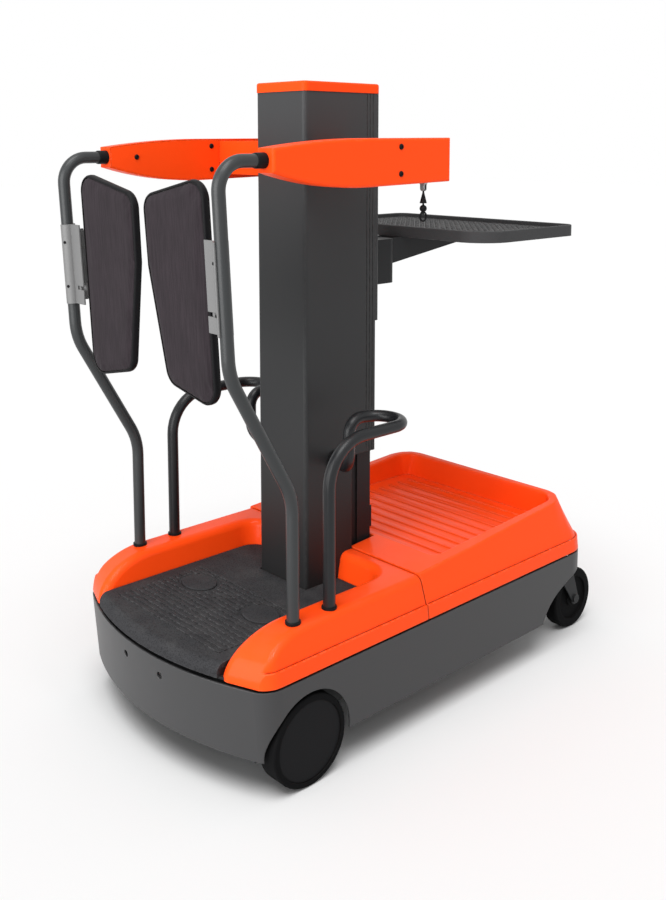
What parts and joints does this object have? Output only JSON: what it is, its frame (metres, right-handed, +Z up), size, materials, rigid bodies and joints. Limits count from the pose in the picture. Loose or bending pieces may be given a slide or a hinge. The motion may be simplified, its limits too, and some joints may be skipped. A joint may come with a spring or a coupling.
{
  "type": "order picker",
  "caption": "Stand-on warehouse order picker: orange and grey base with load deck, telescoping mast in a column, lifting operator platform with gates, rails and a sliding tray.",
  "frame": {"origin": "on the floor under the middle of the bounding box, platform lowered", "axes": "+X from the bumper at the operator end to the load deck end, +Y to the operator's left when facing the deck, +Z up"},
  "size_m": [1.4312, 0.76, 1.632],
  "materials": {
    "orange_shell": "glossy moulded orange",
    "orange_paint": "semi-gloss orange paint",
    "grey_paint": "satin dark grey paint",
    "column_paint": "satin dark grey paint",
    "tube_paint": "satin dark grey paint",
    "bracket_paint": "light grey paint",
    "mat_rubber": "matt ribbed rubber",
    "tyre": "matt solid rubber",
    "pad_vinyl": "soft dark vinyl",
    "tray_plastic": "textured moulded plastic",
    "black_plastic": "satin black plastic",
    "red_plastic": "glossy red plastic",
    "nylon": "natural nylon",
    "steel": "bare machined steel",
    "frame_paint": "matt black paint",
    "cast": "painted casting",
    "alloy": "cast alloy"
  },
  "bodies": {
    "chassis": {"chassis_frame": "frame_paint", "base_skirt": "grey_paint", "deck_cover": "orange_shell", "fixed_mast": "frame_paint", "lift_cylinder_tube": "frame_paint", "battery": "black_plastic", "hydraulic_unit": "alloy", "motor_controller": "alloy", "drive_motors": "alloy"},
    "mid_mast_body": {"mid_mast": "frame_paint", "mid_mast_pads": "nylon", "lift_cylinder_rod": "steel", "rear_lift_chains": "steel", "front_lift_chains": "steel"},
    "pulleys": {"chain_pulleys": "steel"},
    "platform": {"carriage_frame": "frame_paint", "column_cover": "column_paint", "column_cap": "orange_paint", "column_back": "column_paint", "platform_floor": "frame_paint", "floor_mat": "mat_rubber", "left_fender": "orange_shell", "right_fender": "orange_shell", "left_arm": "orange_paint", "right_arm": "orange_paint", "arm_plates": "orange_paint", "arm_consoles": "orange_paint", "left_guard_tube": "tube_paint", "right_guard_tube": "tube_paint", "left_hand_rail": "tube_paint", "right_hand_rail": "tube_paint", "tube_collars": "black_plastic", "gate_brackets": "bracket_paint", "arm_bolts": "steel", "control_pod": "black_plastic", "hook_clevis": "steel"},
    "left_gate": {"left_gate_plate": "bracket_paint", "left_gate_pad": "pad_vinyl"},
    "right_gate": {"right_gate_plate": "bracket_paint", "right_gate_pad": "pad_vinyl"},
    "tray": {"tray_bracket": "tray_plastic", "load_tray": "tray_plastic"},
    "tray_knob": {"tray_clamp_knob": "black_plastic"},
    "left_drive_wheel": {"left_drive_hub": "black_plastic", "left_drive_tyre": "tyre"},
    "right_drive_wheel": {"right_drive_hub": "black_plastic", "right_drive_tyre": "tyre"},
    "left_caster": {"left_caster_fork": "frame_paint"},
    "right_caster": {"right_caster_fork": "frame_paint"},
    "left_caster_roller": {"left_caster_wheel": "tyre"},
    "right_caster_roller": {"right_caster_wheel": "tyre"},
    "left_pedal_body": {"left_pedal": "mat_rubber"},
    "right_pedal_body": {"right_pedal": "mat_rubber"},
    "steering": {"steer_knob": "black_plastic"},
    "travel": {"travel_lever": "black_plastic"},
    "rocker": {"lift_rocker": "black_plastic"},
    "horn": {"horn_button": "black_plastic"},
    "estop": {"estop_button": "red_plastic"},
    "key": {"key_switch": "steel"},
    "hook": {"lanyard_hook": "black_plastic"}
  },
  "joints": [
    {"name": "lift_slide", "type": "slide", "parent": "chassis", "child": "mid_mast_body", "axis": [0, 0, 1], "range_m": [0, 0.88], "deforming": ["front_lift_chains"]},
    {"name": "platform_slide", "type": "slide", "parent": "mid_mast_body", "child": "platform", "axis": [0, 0, 1], "range_m": [0, 0.88]},
    {"name": "pulley_spin", "type": "hinge", "parent": "mid_mast_body", "child": "pulleys", "pos_m": [-0.1, 0, 1.49], "axis": [0, 1, 0], "range_deg": [0, 1681.3]},
    {"name": "left_gate_hinge", "type": "hinge", "parent": "platform", "child": "left_gate", "pos_m": [-0.672, 0.281, 1.175], "axis": [-0.0546, 0, 0.9985], "range_deg": [0, 85], "stiffness_Nm_per_rad": 3, "springref_deg": -8.59},
    {"name": "right_gate_hinge", "type": "hinge", "parent": "platform", "child": "right_gate", "pos_m": [-0.672, -0.281, 1.175], "axis": [0.0546, 0, -0.9985], "range_deg": [0, 85], "stiffness_Nm_per_rad": 3, "springref_deg": -8.59},
    {"name": "tray_slide", "type": "slide", "parent": "platform", "child": "tray", "axis": [0, 0, 1], "range_m": [-0.06, 0.3]},
    {"name": "tray_knob_turn", "type": "hinge", "parent": "tray", "child": "tray_knob", "pos_m": [0.029, 0.076, 1.13], "axis": [0, 1, 0], "range_deg": [0, 270]},
    {"name": "left_wheel_spin", "type": "hinge", "parent": "chassis", "child": "left_drive_wheel", "pos_m": [-0.497, 0.348, 0.11], "axis": [0, 1, 0], "continuous": true},
    {"name": "right_wheel_spin", "type": "hinge", "parent": "chassis", "child": "right_drive_wheel", "pos_m": [-0.497, -0.348, 0.11], "axis": [0, 1, 0], "continuous": true},
    {"name": "left_caster_swivel", "type": "hinge", "parent": "chassis", "child": "left_caster", "pos_m": [0.56975, 0.305, 0.206], "axis": [0, 0, 1], "continuous": true},
    {"name": "right_caster_swivel", "type": "hinge", "parent": "chassis", "child": "right_caster", "pos_m": [0.56975, -0.305, 0.206], "axis": [0, 0, 1], "continuous": true},
    {"name": "left_caster_spin", "type": "hinge", "parent": "left_caster", "child": "left_caster_roller", "pos_m": [0.62475, 0.305, 0.092], "axis": [0, 1, 0], "continuous": true},
    {"name": "right_caster_spin", "type": "hinge", "parent": "right_caster", "child": "right_caster_roller", "pos_m": [0.62475, -0.305, 0.092], "axis": [0, 1, 0], "continuous": true},
    {"name": "left_pedal_press", "type": "slide", "parent": "platform", "child": "left_pedal_body", "axis": [0, 0, -1], "range_m": [0, 0.005], "stiffness_N_per_m": 4000, "springref_m": -0.003},
    {"name": "right_pedal_press", "type": "slide", "parent": "platform", "child": "right_pedal_body", "axis": [0, 0, -1], "range_m": [0, 0.005], "stiffness_N_per_m": 4000, "springref_m": -0.003},
    {"name": "steer_turn", "type": "hinge", "parent": "platform", "child": "steering", "pos_m": [-0.29, -0.138, 1.438], "axis": [-1, 0, 0], "range_deg": [-120, 120], "stiffness_Nm_per_rad": 0.15},
    {"name": "travel_tilt", "type": "hinge", "parent": "platform", "child": "travel", "pos_m": [-0.273, -0.216, 1.44], "axis": [0, 1, 0], "range_deg": [-20, 20], "stiffness_Nm_per_rad": 1},
    {"name": "rocker_tilt", "type": "hinge", "parent": "platform", "child": "rocker", "pos_m": [-0.273, -0.25, 1.44], "axis": [0, 1, 0], "range_deg": [-10, 10], "stiffness_Nm_per_rad": 1},
    {"name": "horn_press", "type": "slide", "parent": "platform", "child": "horn", "axis": [1, 0, 0], "range_m": [0, 0.003], "stiffness_N_per_m": 900, "springref_m": -0.002},
    {"name": "estop_press", "type": "slide", "parent": "platform", "child": "estop", "axis": [1, 0, 0], "range_m": [0, 0.004]},
    {"name": "key_turn", "type": "hinge", "parent": "platform", "child": "key", "pos_m": [-0.279, -0.276, 1.44], "axis": [-1, 0, 0], "range_deg": [0, 90]},
    {"name": "hook_swing", "type": "hinge", "parent": "platform", "child": "hook", "pos_m": [-0.078, -0.328, 1.36688], "axis": [1, 0, 0], "range_deg": [-60, 60]}
  ],
  "couplings": [
    {"joint": "platform_slide", "follows": "lift_slide", "ratio": 1},
    {"joint": "pulley_spin", "follows": "lift_slide", "rad_per_m": 33.333}
  ]
}
